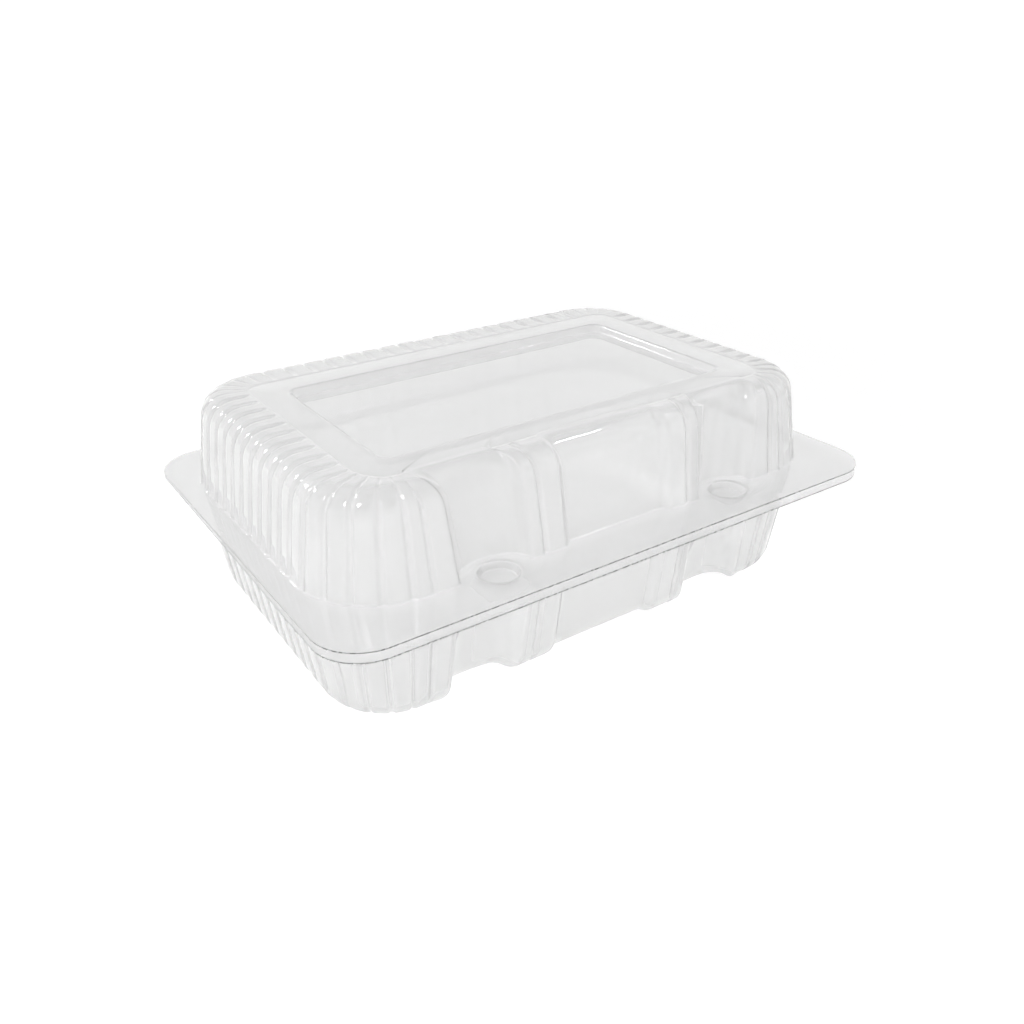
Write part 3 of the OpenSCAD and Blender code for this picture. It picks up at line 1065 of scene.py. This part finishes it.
@dataclass
class Studio:
    """White table, soft lamps and the camera at the photograph's angle."""

    camera_azimuth: float = -34.554
    camera_elevation: float = 27.952
    camera_roll: float = -0.1215
    camera_distance: float = 360.80
    target: tuple[float, float, float] = (-21.73, -33.38, 49.1)
    focal_px: float = 957.744
    frame_px: float = 1024.0
    sensor: float = 36.0
    floor_size: float = 30.0
    floor_drop: float = 0.0002
    # Own light of the table near the pack and far from it, and the distances between which it changes
    floor_fill: tuple[float, float] = (0.29, 0.57)
    floor_reach: tuple[float, float] = (0.25, 1.2)
    light_level: float = 1.1
    # Light from overhead, and the sines of the elevations between which the room darkens to it
    ceiling: float = 0.3
    ceiling_span: tuple[float, float] = (0.2, 0.8)
    # A line of sight passes up to ten faces of clear sheet
    sheet_bounces: int = 12
    shadow_bounces: int = 16
    soft_bounces: int = 2
    aim: tuple[float, float, float] = (0.0, 0.0, 0.05)
    lamps: tuple[Lamp, ...] = (
        Lamp("key_lamp", (-0.75, -0.35, 1.0), 0.25, 3.8),
        Lamp("fill_lamp", (0.8, -0.45, 0.8), 0.8, 1.2),
        Lamp("spark_lamp", (0.6, -0.1, 0.95), 0.06, 0.4),
        Lamp("back_lamp", (-0.5, 0.8, 0.58), 0.14, 1.8),
    )

    def camera(self) -> None:
        """Set the camera."""
        a, e = math.radians(self.camera_azimuth), math.radians(self.camera_elevation)
        back = Vector((math.sin(a) * math.cos(e), -math.cos(a) * math.cos(e), math.sin(e)))
        right = Vector((0, 0, 1)).cross(back).normalized()
        up = back.cross(right)
        roll = math.radians(self.camera_roll)
        across = right * math.cos(roll) + up * math.sin(roll)
        upward = up * math.cos(roll) - right * math.sin(roll)
        data = bpy.data.cameras.new("camera")
        data.sensor_width = self.sensor
        data.lens = self.focal_px / self.frame_px * self.sensor
        data.clip_start, data.clip_end = 0.01, 100.0
        obj = link(bpy.data.objects.new("camera", data))
        place = (Vector(self.target) + back * self.camera_distance) * MM
        turn = Matrix((across, upward, back)).transposed()
        obj.matrix_world = Matrix.Translation(place) @ turn.to_4x4()
        bpy.context.scene.camera = obj

    def world(self) -> None:
        """Light the room: a white sweep all round, darker overhead, and plain white for the camera."""
        world = bpy.data.worlds.new("white_studio")
        world.use_nodes = True
        tree = world.node_tree
        tree.nodes.clear()
        ray = add_node(tree, "ShaderNodeTexCoord").outputs["Generated"]
        height = add_node(tree, "ShaderNodeSeparateXYZ", inputs={0: ray}).outputs["Z"]
        room = add_node(tree, "ShaderNodeMapRange", {"interpolation_type": "SMOOTHSTEP"}, {
            "Value": height, "From Min": self.ceiling_span[0], "From Max": self.ceiling_span[1],
            "To Min": 1.0, "To Max": self.ceiling})
        path = add_node(tree, "ShaderNodeLightPath")
        mirrored = add_node(tree, "ShaderNodeMath", {"operation": "MAXIMUM"},
                            {0: path.outputs["Is Glossy Ray"], 1: path.outputs["Is Transmission Ray"]})
        level = add_node(tree, "ShaderNodeMapRange", inputs={
            "Value": mirrored.outputs[0], "To Min": self.light_level, "To Max": 1.0})
        lit = add_node(tree, "ShaderNodeMath", {"operation": "MULTIPLY"},
                       {0: room.outputs["Result"], 1: level.outputs["Result"]})
        seen = add_node(tree, "ShaderNodeMath", {"operation": "MAXIMUM"},
                        {0: lit.outputs[0], 1: path.outputs["Is Camera Ray"]})
        sky = add_node(tree, "ShaderNodeBackground", inputs={
            "Color": linear("#FFFFFF"), "Strength": seen.outputs[0]})
        add_node(tree, "ShaderNodeOutputWorld", inputs={"Surface": sky.outputs[0]})
        bpy.context.scene.world = world

    def lamp(self, lamp: Lamp) -> None:
        """Hang a soft square lamp that faces the pack.

        Args:
            lamp: what to hang and where.
        """
        data = bpy.data.lights.new(lamp.name, "AREA")
        data.size, data.energy = lamp.size, lamp.power
        obj = link(bpy.data.objects.new(lamp.name, data))
        turn = (Vector(self.aim) - Vector(lamp.place)).to_track_quat("-Z", "Y")
        obj.matrix_world = Matrix.Translation(lamp.place) @ turn.to_matrix().to_4x4()

    def floor(self) -> None:
        """Lay the white table, bright enough to melt into the white room."""
        bm = bmesh.new()
        bmesh.ops.create_grid(bm, x_segments=8, y_segments=8, size=self.floor_size / 2)
        mesh = bpy.data.meshes.new("white_table")
        bm.to_mesh(mesh)
        bm.free()
        mesh.transform(Matrix.Translation((0, 0, -self.floor_drop)))
        table = link(bpy.data.objects.new("white_table", mesh))
        material = bpy.data.materials.new("white_laminate_table")
        material.use_nodes = True
        tree = material.node_tree
        tree.nodes.clear()
        path = add_node(tree, "ShaderNodeLightPath")
        seen = add_node(tree, "ShaderNodeMath", {"operation": "MAXIMUM"},
                        {0: path.outputs["Is Camera Ray"], 1: path.outputs["Is Glossy Ray"]})
        shown = add_node(tree, "ShaderNodeMath", {"operation": "MAXIMUM"},
                         {0: seen.outputs[0], 1: path.outputs["Is Transmission Ray"]})
        # Beyond the lamps' reach the table fades into the white sweep
        place = add_node(tree, "ShaderNodeTexCoord").outputs["Object"]
        away = add_node(tree, "ShaderNodeVectorMath", {"operation": "LENGTH"}, {0: place}).outputs["Value"]
        far = add_node(tree, "ShaderNodeMapRange", {"interpolation_type": "SMOOTHSTEP"}, {
            "Value": away, "From Min": self.floor_reach[0], "From Max": self.floor_reach[1],
            "To Min": self.floor_fill[0], "To Max": self.floor_fill[1]}).outputs["Result"]
        fill = add_node(tree, "ShaderNodeMath", {"operation": "MULTIPLY"}, {0: shown.outputs[0], 1: far})
        matt = add_node(tree, "ShaderNodeBsdfDiffuse", inputs={"Color": linear("#F2F2F2")})
        glow = add_node(tree, "ShaderNodeEmission",
                        inputs={"Color": linear("#FFFFFF"), "Strength": fill.outputs[0]})
        both = add_node(tree, "ShaderNodeAddShader", inputs={0: matt.outputs[0], 1: glow.outputs[0]})
        add_node(tree, "ShaderNodeOutputMaterial", inputs={"Surface": both.outputs[0]})
        mesh.materials.append(material)

    def build(self) -> None:
        """Set the studio up."""
        scene = bpy.context.scene
        scene.view_settings.view_transform = "Standard"
        scene.cycles.max_bounces = self.sheet_bounces
        scene.cycles.transmission_bounces = self.sheet_bounces
        scene.cycles.transparent_max_bounces = self.shadow_bounces
        scene.cycles.diffuse_bounces = self.soft_bounces
        self.camera()
        self.world()
        self.floor()
        for lamp in self.lamps:
            self.lamp(lamp)


def main() -> None:
    """Build the pack and its studio."""
    logging.basicConfig(level=logging.INFO, format="%(name)s: %(message)s")
    Studio().build()
    finishes = Finishes()
    edge = finishes.edge.make()
    tray = Tray("tray_shell", "base_tray", Body.BASE, Slot.TRAY, height=PACK.tray_h, draft=7.5,
                shoulder_r=11.0, end_outline=wall_outline(side=23.0, front=23.0, back=23.0),
                finish=finishes.tray)
    lid = Lid("lid_shell", "lid", Body.LID, Slot.LID, height=35.6, draft=8.7,
              shoulder_r=10.0, end_outline=wall_outline(side=22.5, front=18.0, back=27.0),
              finish=finishes.lid)
    pieces = [tray.build(edge), lid.build(edge), Fold(finishes.fold).build()]
    for piece in pieces:
        LOG.info("%s: %d points", piece.name, len(piece.data.vertices))


if __name__ == "__main__":
    main()
